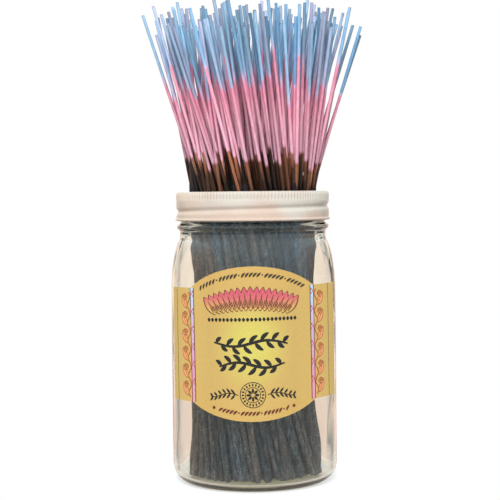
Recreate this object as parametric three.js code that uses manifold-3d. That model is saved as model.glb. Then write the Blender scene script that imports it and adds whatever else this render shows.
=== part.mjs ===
// A screw-top glass jar that holds a fanned bundle of incense sticks, with a wrap-round paper label.
// Millimetres, +Z up. The origin is the middle of the ring that the jar stands on, and -Y is the front.
import * as THREE from "three";
import { mergeVertices } from "three/addons/utils/BufferGeometryUtils.js";
import Module from "manifold-3d";

// Glass jar
const bodyRadius = 49;
const wallThickness = 3.7;
const heelRadius = 11.6;
const floorHeight = 4;
const floorCornerRadius = 6;
const standRingWidth = 2.8;
const pushUpHeight = 1.2;
const shoulderStart = 110.9;
const shoulderEnd = 145.6;
const shoulderPull = 28.7;
const neckPull = 3.3;
const neckRadius = 43.3;
const beadRadius = 45;
const beadBottom = 149.6;
const beadTop = 153.6;
const finishRadius = 43;
const mouthRadius = 39;
const rimHeight = 171.3;
const rimRound = 1.2;
const roundSides = 38;

// Screw band
const bandRadius = 45.4;
const bandWall = 0.8;
const bandBottom = 155.3;
const bandTop = 172.4;
const bandOpening = 39.4;
const bandShoulder = 2;
const lipRadius = 46;
const lipHeight = 1.5;
const grooveDepth = 0.8;
const grooveWidth = 1.3;
const grooveHeight = 162.2;
const threadPitch = 6.35;
const bandRows = 8;

// Paper label
const labelGap = 0.35;
const labelThickness = 0.35;
const labelTurn = THREE.MathUtils.degToRad(-1.2);
const labelHalfAngle = THREE.MathUtils.degToRad(71.5);
const panelHalfAngle = THREE.MathUtils.degToRad(45);
const labelBottom = 52.5;
const labelTop = 118;
const archRise = 12;
const archDrop = 10.5;
const labelColumns = 44;

// Incense sticks
const stickCount = 225;
const stickLength = 271;
const stickSpread = 8;
const leaningExtra = 160;
const stickLift = 2.5;
const coatedLength = 174;
const coatedSpread = 4;
const coatedRadius = 1.7;
const bareRadius = 0.99;
const stickFloor = floorHeight + 0.4;
const footRadius = 37.9;
const footShift = [0.3, 0.5];
const throatRadius = 36.4;
const throatShift = [0.2, 0];
const throatHeight = bandTop;
const uprightShare = 0.33;
const uprightTurn = [40, 70];
const leaningTurn = [92, 138];
const footPull = [0.9, 1.1];
const settleRounds = 150;
const settleStep = 0.45;
const settleRoom = 0.96;
const middleRadius = 33.8;
const middleSides = 3;
const outerSides = 4;
const bareRoot = 30;

// Packed middle of the bundle, which the sticks are fused to
const coreRadius = 34.7;
const coreNeck = 34.2;
const coreTop = 187;
const coreDome = 4;
const coreSides = 20;

const wasm = await Module();
wasm.setup();

// A closed three.js geometry as a manifold-3d solid.
function solidOf(geometry) {
  const bare = geometry.clone().deleteAttribute("normal").deleteAttribute("uv");
  const merged = mergeVertices(bare, 1e-4);
  return new wasm.Manifold(
    new wasm.Mesh({
      numProp: 3,
      vertProperties: merged.attributes.position.array,
      triVerts: new Uint32Array(merged.index.array),
    }),
  );
}

function geometryOf(solid) {
  const mesh = solid.getMesh();
  const geometry = new THREE.BufferGeometry();
  geometry.setAttribute("position", new THREE.BufferAttribute(mesh.vertProperties, 3));
  geometry.setIndex(new THREE.BufferAttribute(mesh.triVerts, 1));
  geometry.computeVertexNormals();
  return geometry;
}

// A profile of [radius, height] pairs turned about the Z axis.
function turned(profile, sides) {
  const points = profile.map(([radius, height]) => new THREE.Vector2(radius, height));
  return new THREE.LatheGeometry(points, sides).rotateX(Math.PI / 2);
}

// Points on a quarter-round or longer arc, angles in degrees from the outward direction.
function arc(centreRadius, centreHeight, radius, from, to, steps) {
  return Array.from({ length: steps + 1 }, (_, step) => {
    const angle = THREE.MathUtils.degToRad(THREE.MathUtils.lerp(from, to, step / steps));
    return [centreRadius + radius * Math.cos(angle), centreHeight + radius * Math.sin(angle)];
  });
}

// The jar's shoulder, an S-curve from the body to the neck, moved inwards by the inset.
function shoulder(inset, steps) {
  const curve = new THREE.CubicBezierCurve(
    new THREE.Vector2(bodyRadius - inset, shoulderStart),
    new THREE.Vector2(bodyRadius - inset, shoulderStart + shoulderPull),
    new THREE.Vector2(neckRadius - inset, shoulderEnd - neckPull),
    new THREE.Vector2(neckRadius - inset, shoulderEnd),
  );
  return curve.getPoints(steps).map((point) => [point.x, point.y]);
}

// The whole section of the glass: under the base, up the outside, over the rim and down the inside.
function jarGeometry() {
  const heelCentre = bodyRadius - heelRadius;
  const innerRadius = bodyRadius - wallThickness;
  const beadMiddle = (beadBottom + beadTop) / 2;
  const outside = [
    [0, pushUpHeight],
    [heelCentre - standRingWidth - 4, pushUpHeight * 0.8],
    [heelCentre - standRingWidth, 0],
    ...arc(heelCentre, heelRadius, heelRadius, -90, 0, 4),
    ...shoulder(0, 6),
    [neckRadius, beadBottom],
    [beadRadius, beadMiddle - 1],
    [beadRadius, beadMiddle + 1],
    [finishRadius, beadTop],
    ...arc(finishRadius - rimRound, rimHeight - rimRound, rimRound, 0, 90, 2),
  ];
  const inside = [
    ...arc(mouthRadius + rimRound, rimHeight - rimRound, rimRound, 90, 180, 2),
    [mouthRadius, beadBottom],
    ...shoulder(wallThickness, 5).reverse(),
    ...arc(innerRadius - floorCornerRadius, floorHeight + floorCornerRadius, floorCornerRadius, 0, -90, 3),
    [0, floorHeight],
  ];
  return turned([...outside, ...inside], roundSides);
}

// How far the thread groove sinks at an angle from the front and a height: one long turn that
// rises by the thread's pitch for each full turn and fades out at both ends.
function grooveAt(angle, height) {
  const fadeStart = THREE.MathUtils.degToRad(165);
  const fadeEnd = THREE.MathUtils.degToRad(235);
  return [-1, 0, 1].reduce((depth, turn) => {
    const along = angle + turn * 2 * Math.PI;
    const middle = grooveHeight + (threadPitch * along) / (2 * Math.PI);
    const fade = 1 - THREE.MathUtils.smoothstep(Math.abs(along), fadeStart, fadeEnd);
    return depth + grooveDepth * fade * Math.exp(-(((height - middle) / grooveWidth) ** 2));
  }, 0);
}

// A thin pressed ring: flat top flange, rounded shoulder, threaded skirt and rolled lip.
function bandGeometry() {
  const skirtTop = bandTop - bandShoulder;
  const skirtBottom = bandBottom + lipHeight;
  const rows = Array.from({ length: bandRows }, (_, row) =>
    THREE.MathUtils.lerp(skirtBottom, skirtTop, row / (bandRows - 1)),
  );
  const inner = bandRadius - bandWall;
  const section = [
    [inner, bandBottom],
    [lipRadius - 0.3, bandBottom],
    [lipRadius, bandBottom + lipHeight / 2],
    ...rows.map((height) => [bandRadius, height]),
    ...arc(bandRadius - bandShoulder, skirtTop, bandShoulder, 30, 90, 2),
    [bandOpening, bandTop],
    [bandOpening, bandTop - bandWall],
    [inner - 1, bandTop - bandWall],
    ...rows.toReversed().map((height) => [inner, height]),
    [inner, bandBottom],
  ];
  const geometry = turned(section, roundSides);
  const place = geometry.attributes.position;
  for (let i = 0; i < place.count; i++) {
    const x = place.getX(i);
    const y = place.getY(i);
    const height = place.getZ(i);
    if (height < skirtBottom || height > skirtTop) continue;
    const scale = 1 - grooveAt(Math.atan2(x, -y), height) / Math.hypot(x, y);
    place.setXY(i, x * scale, y * scale);
  }
  return geometry;
}

// Height that the label's arched middle adds at an angle: a circular bow between the two bars.
function archAt(angle, rise) {
  const across = Math.min(Math.abs(angle) / panelHalfAngle, 1);
  const bowRadius = (1 + rise ** 2) / (2 * rise);
  return Math.sqrt(bowRadius ** 2 - across ** 2) - (bowRadius - rise);
}

// A sheet bent round the jar, with straight side wings and a middle panel bowed up and down.
function labelGeometry() {
  const inner = bodyRadius + labelGap;
  const panelWidth = bodyRadius * panelHalfAngle;
  const geometry = new THREE.BoxGeometry(1, 1, 1, labelColumns, 1, 1);
  const place = geometry.attributes.position;
  for (let i = 0; i < place.count; i++) {
    const angle = 2 * labelHalfAngle * place.getX(i);
    const upper = labelTop + panelWidth * archAt(angle, archRise / panelWidth);
    const lower = labelBottom - panelWidth * archAt(angle, archDrop / panelWidth);
    const height = place.getZ(i) > 0 ? upper : lower;
    const radius = place.getY(i) > 0 ? inner : inner + labelThickness;
    const turn = angle + labelTurn;
    place.setXYZ(i, radius * Math.sin(turn), -radius * Math.cos(turn), height);
  }
  return geometry;
}

// A repeatable draw from 0 to 1 for one stick and one purpose.
function draw(stick, purpose) {
  const wave = Math.sin(stick * 12.9898 + purpose * 78.233) * 43758.5453;
  return wave - Math.floor(wave);
}

const drawn = (range, stick, purpose) => THREE.MathUtils.lerp(range[0], range[1], draw(stick, purpose));

// Moves a point back inside a circle about the axis.
function keepInside(point, radius) {
  const reach = Math.hypot(point.x, point.y);
  if (reach > radius) point.multiplyScalar(radius / reach);
}

// Where each stick passes the floor and the throat: a sunflower spread in the throat, with the feet
// turned about the axis against it, so that the outer sticks lean and cross as they do in a jar.
function startLines() {
  const goldenAngle = Math.PI * (3 - Math.sqrt(5));
  return Array.from({ length: stickCount }, (_, stick) => {
    const share = Math.sqrt((stick + 0.5) / stickCount);
    const angle = stick * goldenAngle;
    const upright = draw(stick, 71) < uprightShare;
    const turn = THREE.MathUtils.degToRad(drawn(upright ? uprightTurn : leaningTurn, stick, 72));
    const pull = upright ? 1 : drawn(footPull, stick, 73);
    const throat = new THREE.Vector2(Math.cos(angle), Math.sin(angle)).multiplyScalar(throatRadius * share);
    const foot = new THREE.Vector2(Math.cos(angle + turn), Math.sin(angle + turn));
    return { foot: foot.multiplyScalar(footRadius * share * pull), throat };
  });
}

// The overlap of two lines between two shares of the way from floor to throat, and where it is.
function clashBetween(offset, change, from, to, room) {
  const steepness = Math.max(change.lengthSq(), 1e-9);
  const at = THREE.MathUtils.clamp(-offset.dot(change) / steepness, from, to);
  const gap = offset.clone().addScaledVector(change, at);
  return { at, gap, need: room - gap.length() };
}

// Pushes overlapping sticks apart a little at a time, keeps them inside the glass and shifts the bundle.
function settledLines() {
  const span = throatHeight - stickFloor;
  const coatEnd = coatedLength / span;
  const tip = stickLength / span;
  const lines = startLines();
  for (let round = 0; round < settleRounds; round++) {
    const moves = lines.map(() => ({ foot: new THREE.Vector2(), throat: new THREE.Vector2() }));
    for (let a = 0; a < stickCount; a++) {
      for (let b = a + 1; b < stickCount; b++) {
        const offset = lines[a].foot.clone().sub(lines[b].foot);
        const change = lines[a].throat.clone().sub(lines[b].throat).sub(offset);
        const coated = clashBetween(offset, change, 0, coatEnd, 2 * coatedRadius * settleRoom);
        const bare = clashBetween(offset, change, coatEnd, tip, 2 * bareRadius * settleRoom);
        const clash = bare.need > coated.need ? bare : coated;
        if (clash.need <= 0) continue;
        const { at, gap, need } = clash;
        const weight = (settleStep * 0.5 * need) / ((1 - at) ** 2 + at ** 2) / Math.max(gap.length(), 1e-6);
        moves[a].foot.addScaledVector(gap, weight * (1 - at));
        moves[b].foot.addScaledVector(gap, -weight * (1 - at));
        moves[a].throat.addScaledVector(gap, weight * at);
        moves[b].throat.addScaledVector(gap, -weight * at);
      }
    }
    lines.forEach((line, stick) => {
      keepInside(line.foot.add(moves[stick].foot), footRadius);
      keepInside(line.throat.add(moves[stick].throat), throatRadius);
    });
  }
  lines.forEach(({ foot, throat }) => {
    foot.add(new THREE.Vector2(...footShift));
    throat.add(new THREE.Vector2(...throatShift));
  });
  return lines;
}

// One stick: a coated lower part with few sides and a thinner bare end, stood along its line. The more
// it leans, the longer it is, so that the fan's outer tips stand nearly as high as the rest. A stick
// from the middle has its bare end alone, which starts inside the core.
function stickGeometry({ foot, throat }, stick) {
  const rise = throatHeight - stickFloor;
  const along = new THREE.Vector3(throat.x - foot.x, throat.y - foot.y, rise).normalize();
  const length = stickLength + stickSpread * (2 * draw(stick, 75) - 1) + leaningExtra * (1 - along.z);
  const coated = coatedLength + coatedSpread * (2 * draw(stick, 76) - 1);
  const bareEnd = [
    [bareRadius, length],
    [0, length],
  ];
  const isMiddle = throat.length() < middleRadius;
  const profile = isMiddle
    ? [[0, coated - bareRoot], [bareRadius, coated - bareRoot], ...bareEnd]
    : [[0, 0], [coatedRadius, 0], [coatedRadius, coated], [bareRadius, coated], ...bareEnd];
  const start = new THREE.Vector3(foot.x, foot.y, stickFloor + coatedRadius * Math.hypot(along.x, along.y));
  start.addScaledVector(along, stickLift * draw(stick, 74) ** 2);
  const stand = new THREE.Quaternion().setFromUnitVectors(new THREE.Vector3(0, 0, 1), along);
  const sides = isMiddle ? middleSides : outerSides;
  return turned(profile, sides).applyQuaternion(stand).translate(start.x, start.y, start.z);
}

// The packed middle: straight in the jar, a little narrower in the throat and domed just above it.
function coreGeometry() {
  return turned(
    [
      [0, stickFloor + 1],
      [coreRadius - 1, stickFloor + 1],
      [coreRadius, stickFloor + 2],
      [coreRadius, shoulderStart],
      [coreNeck, throatHeight],
      [coreNeck, coreTop - coreDome],
      [coreNeck / 2, coreTop - 1],
      [0, coreTop],
    ],
    coreSides,
  );
}

// The core with every outer stick fused on, and the bare ends of those that start near the middle.
function bundleGeometry() {
  const fuse = (bundle, line, stick) => bundle.add(solidOf(stickGeometry(line, stick)));
  return geometryOf(settledLines().reduce(fuse, solidOf(coreGeometry())));
}

const part = new THREE.Group();

function addPart(name, geometry, look) {
  const mesh = new THREE.Mesh(geometry, new THREE.MeshStandardMaterial(look));
  mesh.name = name;
  part.add(mesh);
}

addPart("glass_jar", jarGeometry(), {
  color: 0xdfe8e2,
  roughness: 0.03,
  metalness: 0,
  transparent: true,
  opacity: 0.35,
});
addPart("screw_band", bandGeometry(), { color: 0xe6dccd, roughness: 0.32, metalness: 0.1 });
addPart("paper_label", labelGeometry(), { color: 0xdfc070, roughness: 0.5, metalness: 0 });
addPart("incense_bundle", bundleGeometry(), { color: 0x6b6f78, roughness: 0.85, metalness: 0 });

export default part;
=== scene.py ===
import math
import bpy
import numpy as np
from mathutils import Matrix, Vector


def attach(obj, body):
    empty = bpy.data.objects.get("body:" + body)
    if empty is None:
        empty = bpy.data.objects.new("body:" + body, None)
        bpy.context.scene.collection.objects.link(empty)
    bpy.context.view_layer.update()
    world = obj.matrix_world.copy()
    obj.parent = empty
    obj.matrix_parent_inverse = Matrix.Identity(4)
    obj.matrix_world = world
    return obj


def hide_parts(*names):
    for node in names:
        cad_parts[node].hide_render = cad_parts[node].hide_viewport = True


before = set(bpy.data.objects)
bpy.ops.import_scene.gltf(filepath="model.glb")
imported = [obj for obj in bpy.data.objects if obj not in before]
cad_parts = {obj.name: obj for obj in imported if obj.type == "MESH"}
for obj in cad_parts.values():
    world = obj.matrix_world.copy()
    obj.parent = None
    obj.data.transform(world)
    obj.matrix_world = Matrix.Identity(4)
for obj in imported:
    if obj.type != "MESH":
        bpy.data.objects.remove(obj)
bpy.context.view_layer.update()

mm = 0.001
fullTurn = 2 * math.pi
rootBody = "root"


# Small shared shapes

def smoothStep(low, high, value):
    # 0 below low, 1 above high, and 3t^2 - 2t^3 in between
    share = np.clip((value - low) / (high - low), 0, 1)
    return share * share * (3 - 2 * share)


def blendBetween(low, high, share):
    return low + (high - low) * share


def riseAndFall(edges, value):
    # of four rising edges, 0 beyond the outer two, 1 between the inner two, and a smooth step between
    return smoothStep(edges[0], edges[1], value) * (1 - smoothStep(edges[2], edges[3], value))


def valuesOf(piece, *titles):
    # several of a dictionary's values at once
    return [piece[title] for title in titles]


def draw(item, purpose):
    # a repeatable draw from 0 to 1: the fraction left over from a large multiple of a sine
    wave = np.sin(item * 12.9898 + purpose * 78.233) * 43758.5453
    return wave - np.floor(wave)


def swing(item, purpose):
    # the same, from -1 to 1
    return 2 * draw(item, purpose) - 1


def pairs(first, second):
    return np.stack([first, second], -1)


def unitAt(angle):
    # the point of a circle of radius 1 at an angle in radians
    return pairs(np.cos(angle), np.sin(angle))


def arcPoints(centreRadius, centreHeight, radius, fromAngle, toAngle, steps):
    # [radius, height] points round a circle, angles in degrees from the outward direction
    angle = np.radians(np.linspace(fromAngle, toAngle, steps + 1))
    return [centreRadius, centreHeight] + radius * unitAt(angle)


def bezierPoints(a, b, c, d, steps):
    # the cubic Bezier curve with ends a and d, pulled towards b and c
    t = np.linspace(0, 1, steps + 1)[:, None]
    a, b, c, d = (np.array(point, float) for point in (a, b, c, d))
    return a * (1 - t) ** 3 + 3 * b * t * (1 - t) ** 2 + 3 * c * t ** 2 * (1 - t) + d * t ** 3


def straightPoints(a, b, steps):
    # a + (b - a) t
    return blendBetween(np.array(a, float), np.array(b, float), np.linspace(0, 1, steps + 1)[:, None])


def joinedProfile(*stretches):
    # stretches end to end, with a point that two of them share kept once
    points = np.concatenate(stretches)
    apart = np.linalg.norm(np.diff(points, axis=0), axis=1) > 1e-6
    return points[np.concatenate([[True], apart])]


def roundPoints(radius, height, angle):
    # a point at a radius from the jar's axis, with the angle counted from the front towards +X
    return np.stack([radius * np.sin(angle), -radius * np.cos(angle), height + 0 * angle], -1)


def gridFaces(rows, columns, loopRows=False, loopColumns=False):
    # four-sided faces between neighbours of a grid of points; a looped direction joins up with its start
    row = np.arange(rows if loopRows else rows - 1)
    column = np.arange(columns if loopColumns else columns - 1)
    a, b = (part.ravel() for part in np.meshgrid(row, column, indexing="ij"))
    nextA, nextB = (a + 1) % rows * columns, (b + 1) % columns
    return np.stack([a * columns + b, a * columns + nextB, nextA + nextB, nextA + b], -1)


def fanFaces(ring, pole, reverse=False):
    # three-sided faces from each step along a closed ring to one pole point
    fan = np.stack([ring, np.roll(ring, -1), np.full(len(ring), pole)], -1)
    return fan[:, ::-1] if reverse else fan


def addObject(name, data):
    thing = bpy.data.objects.new(name, data)
    bpy.context.scene.collection.objects.link(thing)
    return thing


def makePiece(name, points, faces, look, stands=(), sharpAngle=40, marks=None):
    # points are in millimetres; faces is a list of arrays of point numbers, one row for each face
    corners = np.concatenate([part.ravel() for part in faces]).astype(np.int32)
    sizes = np.concatenate([np.full(len(part), part.shape[1]) for part in faces])
    starts = np.concatenate([[0], np.cumsum(sizes)[:-1]]).astype(np.int32)
    mesh = bpy.data.meshes.new(name)
    mesh.vertices.add(len(points))
    mesh.vertices.foreach_set("co", (np.asarray(points) * mm).astype(np.float32).ravel())
    mesh.loops.add(len(corners))
    mesh.loops.foreach_set("vertex_index", corners)
    mesh.polygons.add(len(sizes))
    mesh.polygons.foreach_set("loop_start", starts)
    mesh.update(calc_edges=True)
    for title, values in (marks or {}).items():
        mark = mesh.attributes.new(title, "FLOAT", "POINT")
        mark.data.foreach_set("value", values.astype(np.float32).ravel())
    mesh.polygons.foreach_set("use_smooth", np.ones(len(sizes), bool))
    mesh.set_sharp_from_angle(angle=math.radians(sharpAngle))
    mesh.materials.append(look)
    piece = addObject(name, mesh)
    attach(piece, rootBody)
    if stands:
        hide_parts(*stands)
    print(name, "has", int((sizes - 2).sum()), "triangles")


# Material helpers; most put their node into the tree of the socket that feeds it

def addNode(tree, kind, inputs=None, **settings):
    node = tree.nodes.new("ShaderNode" + kind)
    for key, value in settings.items():
        setattr(node, key, value)
    for key, value in (inputs or {}).items():
        if isinstance(value, bpy.types.NodeSocket):
            tree.links.new(value, node.inputs[key])
        else:
            node.inputs[key].default_value = value
    return node


def addRamp(factor, stops, smooth=False):
    # stops are (place, (red, green, blue)) pairs in rising order
    node = addNode(factor.id_data, "ValToRGB", {"Fac": factor})
    ramp = node.color_ramp
    ramp.interpolation = "EASE" if smooth else "LINEAR"
    while len(ramp.elements) < len(stops):
        ramp.elements.new(0.5)
    for element, (place, colour) in zip(ramp.elements, stops):
        element.position = place
        element.color = (*colour, 1)
    return node.outputs["Color"]


def addNoise(vector, scale, detail=3, roughness=0.5):
    inputs = {"Vector": vector, "Scale": scale, "Detail": detail, "Roughness": roughness}
    return addNode(vector.id_data, "TexNoise", inputs).outputs["Fac"]


def addRange(value, fromLow, fromHigh, toLow=0, toHigh=1, **settings):
    inputs = {"Value": value, "From Min": fromLow, "From Max": fromHigh, "To Min": toLow, "To Max": toHigh}
    return addNode(value.id_data, "MapRange", inputs, **settings).outputs["Result"]


def addSpan(value, edges, toLow=0, toHigh=1, **settings):
    # a range whose two edges are places in millimetres
    return addRange(value, edges[0] * mm, edges[1] * mm, toLow, toHigh, **settings)


def addUneven(noise, low, high):
    # most of a noise's values spread from low to high
    return addRange(noise, 0.3, 0.7, low, high)


def addMath(operation, a, b=0.0, c=0.0):
    return addNode(a.id_data, "Math", {0: a, 1: b, 2: c}, operation=operation).outputs[0]


def addMix(factor, a, b, blend="MIX"):
    tree = (factor if isinstance(factor, bpy.types.NodeSocket) else a).id_data
    node = addNode(tree, "Mix", data_type="RGBA", blend_type=blend)
    for place, value in ((0, factor), (6, a), (7, b)):
        if isinstance(value, bpy.types.NodeSocket):
            tree.links.new(value, node.inputs[place])
        else:
            node.inputs[place].default_value = (*value, 1) if place else value
    return node.outputs[2]


def addTint(colour, tint):
    return addMix(1.0, colour, tint, "MULTIPLY")


def addBump(height, strength, distance):
    inputs = {"Height": height, "Strength": strength, "Distance": distance * mm}
    return addNode(height.id_data, "Bump", inputs).outputs["Normal"]


def placeOn(tree, scale=(1, 1, 1)):
    # object coordinates, stretched by a Mapping node
    place = addNode(tree, "TexCoord").outputs["Object"]
    return addNode(tree, "Mapping", {"Vector": place, "Scale": scale}).outputs["Vector"]


def partsOf(vector):
    return addNode(vector.id_data, "SeparateXYZ", {"Vector": vector}).outputs


def markOf(tree, title):
    return addNode(tree, "Attribute", attribute_name=title).outputs["Fac"]


def newLook(name, **sockets):
    # a material with one Principled shader whose plain values stand on its own sockets
    look = bpy.data.materials.new(name)
    look.use_nodes = True
    shader = look.node_tree.nodes["Principled BSDF"]
    for title, value in sockets.items():
        shader.inputs[title.replace("_", " ")].default_value = value
    return look, look.node_tree, shader


def feed(shader, **sockets):
    # links to a shader's sockets
    for title, output in sockets.items():
        shader.id_data.links.new(output, shader.inputs[title.replace("_", " ")])


# Camera, floor and light

view = {
    "imageSide": 500,            # pixels
    "focalPixels": 1464,
    "sensorWidth": 36,           # mm
    "cameraPlace": (-1.8, -873, 170.06),
    "pitchDown": 2.14,           # degrees
    "roll": -0.6,
}


def makeCamera():
    data = bpy.data.cameras.new("camera")
    data.sensor_width = view["sensorWidth"]
    data.lens = view["focalPixels"] * view["sensorWidth"] / view["imageSide"]
    data.clip_start, data.clip_end = 0.01, 50
    camera = addObject("camera", data)
    turn = Matrix.Rotation(math.radians(90 - view["pitchDown"]), 4, "X")
    roll = Matrix.Rotation(math.radians(view["roll"]), 4, "Z")
    camera.matrix_world = Matrix.Translation(Vector(view["cameraPlace"]) * mm) @ turn @ roll
    bpy.context.scene.camera = camera


studio = {
    "front": (1.02, 1.13, 1.19),       # soft cool light from the viewer's side
    "side": (0.92, 0.78, 0.68),        # dimmer and warmer at both sides
    "flag": (0.34, 0.34, 0.33),        # grey boards either side of the backdrop
    "backdrop": (1.11, 0.93, 0.80),    # warm cream cloth far behind the jar
    "overhead": (1.30, 1.44, 1.50),
    "lowFront": (0.58, 0.60, 0.60),    # front, sides and back again, from below
    "lowSide": (0.70, 0.62, 0.54),
    "lowBehind": (1.03, 0.77, 0.67),
    "flagEdges": (64, 50, 39, 27),     # degrees from straight behind, from side to backdrop
    "overheadFrom": (0.12, 0.5),       # rise of a direction where the overhead light sets in and is full
    "lowFrom": (-0.02, -0.16),         # and where the light from below does
    "fill": 0.71,                      # share of the studio's light that reaches matt things
    "keySize": 420,                    # mm
    "keyPlace": (-80, -1390, 1000),
    "keyAim": (0, 0, 150),
    "keyPower": 27,                    # watts
    "floorRadius": 150,                # mm
    "floorSides": 96,
    "floorFade": (60, 140),
    "floorTone": 0.40,
    "floorGlow": 0.60,                 # the floor is a softly lit table
    "throughGlow": 0.32,               # its glow and tint as the glass shows them
    "throughTint": (1.0, 0.76, 0.58),
    "paintedShadowGlow": 0.30,                 # and a dimmer glow where the jar stands on it: a painted shadow under the jar
    "paintedShadowTint": (1.0, 0.94, 0.58),
    "paintedShadowEdge": (31, 43),
}


def makeWorld():
    # the light round the jar by direction; what the camera itself sees behind the jar stays white
    world = bpy.data.worlds.new("studio")
    bpy.context.scene.world = world
    world.use_nodes = True
    tree = world.node_tree
    tree.nodes.clear()
    parts = partsOf(addNode(tree, "TexCoord").outputs["Generated"])
    behind = addRange(parts["Y"], -1, 1)

    def addRound(frontStops, side, back):
        # from the front round to the back, with the grey boards on the way
        places = [0.5 + 0.5 * math.cos(math.radians(edge)) for edge in studio["flagEdges"]]
        backStops = zip(places, (side, studio["flag"], studio["flag"], back))
        return addRamp(behind, [*frontStops, *backStops, (1.0, back)])

    around = addRound([(0.0, studio["front"]), (0.25, studio["front"]), (0.50, studio["side"])],
                      studio["side"], studio["backdrop"])
    low = addRound([(0.30, studio["lowFront"]), (0.55, studio["lowSide"])],
                   studio["lowSide"], studio["lowBehind"])
    light = addMix(addRange(parts["Z"], *studio["overheadFrom"]), around, studio["overhead"])
    light = addMix(addRange(parts["Z"], *studio["lowFrom"]), light, low)
    rays = addNode(tree, "LightPath").outputs
    strength = addRange(rays["Is Diffuse Ray"], 0, 1, 1, studio["fill"])
    lit = addNode(tree, "Background", {"Color": light, "Strength": strength}).outputs[0]
    plain = addNode(tree, "Background", {"Color": (1, 1, 1, 1), "Strength": 1.0}).outputs[0]
    both = addNode(tree, "MixShader", {0: rays["Is Camera Ray"], 1: lit, 2: plain}).outputs[0]
    addNode(tree, "OutputWorld", {"Surface": both})


def makeKeyLight():
    data = bpy.data.lights.new("key", "AREA")
    data.size = studio["keySize"] * mm
    data.energy = studio["keyPower"]
    key = addObject("key", data)
    place = Vector(studio["keyPlace"]) * mm
    aim = (Vector(studio["keyAim"]) * mm - place).to_track_quat("-Z", "Y")
    key.matrix_world = Matrix.Translation(place) @ aim.to_matrix().to_4x4()
    key.visible_glossy = False      # the glass shows the studio, not the lamp
    key.visible_transmission = False


def makeFloor():
    # a softly glowing disc whose edge fades away into the white behind it, with a painted shadow where the
    # jar stands: its glow is dimmer and yellower there
    look, tree, shader = newLook("pale_floor", Roughness=0.9)
    place = addNode(tree, "TexCoord").outputs["Object"]
    tone = studio["floorTone"]
    tint = addRamp(addNoise(place, 9), [(0.3, (tone,) * 3), (0.7, (tone + 0.02,) * 3)])
    distance = addNode(tree, "VectorMath", {0: place}, operation="LENGTH").outputs["Value"]
    # within this radius the glow is dimmed and tinted as a painted shadow under the jar
    clear = addSpan(distance, studio["paintedShadowEdge"])
    seen = addNode(tree, "LightPath").outputs["Is Camera Ray"]
    openTint = addMix(seen, studio["throughTint"], (1, 1, 1))
    openGlow = addRange(seen, 0, 1, studio["throughGlow"], studio["floorGlow"])
    feed(shader, Base_Color=tint, Emission_Color=addMix(clear, studio["paintedShadowTint"], openTint),
         Emission_Strength=addRange(clear, 0, 1, studio["paintedShadowGlow"], openGlow),
         Alpha=addSpan(distance, studio["floorFade"], 1, 0, interpolation_type="SMOOTHSTEP"))
    sides = studio["floorSides"]
    angle = np.arange(sides) * fullTurn / sides
    ring = roundPoints(studio["floorRadius"], 0 * angle, angle)
    mesh = bpy.data.meshes.new("floor")
    mesh.from_pydata((ring * mm).tolist(), [], [list(range(sides))])
    mesh.materials.append(look)
    floor = addObject("floor", mesh)


# Glass jar

jar = {
    "bodyRadius": 49,
    "wall": 3.7,
    "heelRadius": 11.6,
    "floorHeight": 4,
    "floorCorner": 6,
    "standRing": 2.8,
    "pushUp": 1.2,
    "poleRadius": 0.8,
    "shoulderStart": 110.9,
    "shoulderEnd": 145.6,
    "shoulderPull": 28.7,
    "neckPull": 3.3,
    "neckRadius": 43.3,
    "neckTop": 148.2,
    "finishFrom": 155.4,
    "finishRadius": 43,
    "beadRadius": 45,
    "beadMiddle": 151.6,
    "beadHalf": 1.72,
    "beadPower": 2.8,        # 2 gives a round bead, 4 a flat-topped one
    "mouthRadius": 39,
    "mouthBottom": 150.5,
    "rimHeight": 171.3,
    "rimRound": 1.2,
    "sides": 240,
    "innerWave": 0.30,       # how far the inner wall wanders, as in blown glass
    "shoulderWave": 0.24,    # more of it where the shoulder was drawn in
    "outerWave": 0.055,
    "waves": 6,              # slow waves that are added up
    "waveTurns": (2, 11),    # how often each repeats round the jar
    "waveRise": (0.03, 0.12),      # radians for each mm of height
    "wavePeak": 2.6,         # about how high they stand together
    "wallWaves": (9, 24, 136, 149),          # heights between which the waves come and go
    "shoulderWaves": (112, 126, 140, 148),
    "seamHeight": 0.12,      # the mould's parting line, at both sides
    "seamWidth": 0.012,      # radians
    "seamFrom": (3, 12),     # heights where it sets in, and where it ends
    "seamTop": 154,
    "ior": 1.5,
    "tint": (0.45, 0.60, 0.30),
    "tintDensity": 26.0,     # per metre
}


def shoulderPoints(inset, steps):
    # the S-curve from the body to the neck, moved inwards by the inset
    body, neck = jar["bodyRadius"] - inset, jar["neckRadius"] - inset
    start, end = jar["shoulderStart"], jar["shoulderEnd"]
    return bezierPoints((body, start), (body, start + jar["shoulderPull"]), (neck, end - jar["neckPull"]),
                        (neck, end), steps)


def wanderAt(angle, height, purpose):
    # a sum of sine round the jar times sine up the jar, each with its own turns and rise, about 1 high
    fewest, most = jar["waveTurns"]
    wander = 0
    for item in range(jar["waves"]):
        turns = fewest + round((most - fewest) * draw(item, purpose))
        rise = blendBetween(*jar["waveRise"], draw(item, purpose + 1))
        phase = fullTurn * draw(item, purpose + 2)
        lean = fullTurn * draw(item, purpose + 3)
        wander = wander + np.sin(turns * angle + phase) * np.sin(rise * height + lean)
    return wander / jar["wavePeak"]


def makeGlassLook():
    look, tree, shader = newLook("clear_glass", Base_Color=(1, 1, 1, 1), IOR=jar["ior"],
                                 Transmission_Weight=1.0)
    place = placeOn(tree, (1, 1, 0.45))
    feed(shader, Roughness=addRange(addNoise(place, 55, 4, 0.6), 0.45, 0.75, 0.0, 0.035),
         Normal=addBump(addNoise(place, 70, 2), 0.05, 0.6))
    inputs = {"Color": (*jar["tint"], 1), "Density": jar["tintDensity"]}
    tint = addNode(tree, "VolumeAbsorption", inputs).outputs[0]
    tree.links.new(tint, tree.nodes["Material Output"].inputs["Volume"])
    return look


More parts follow.
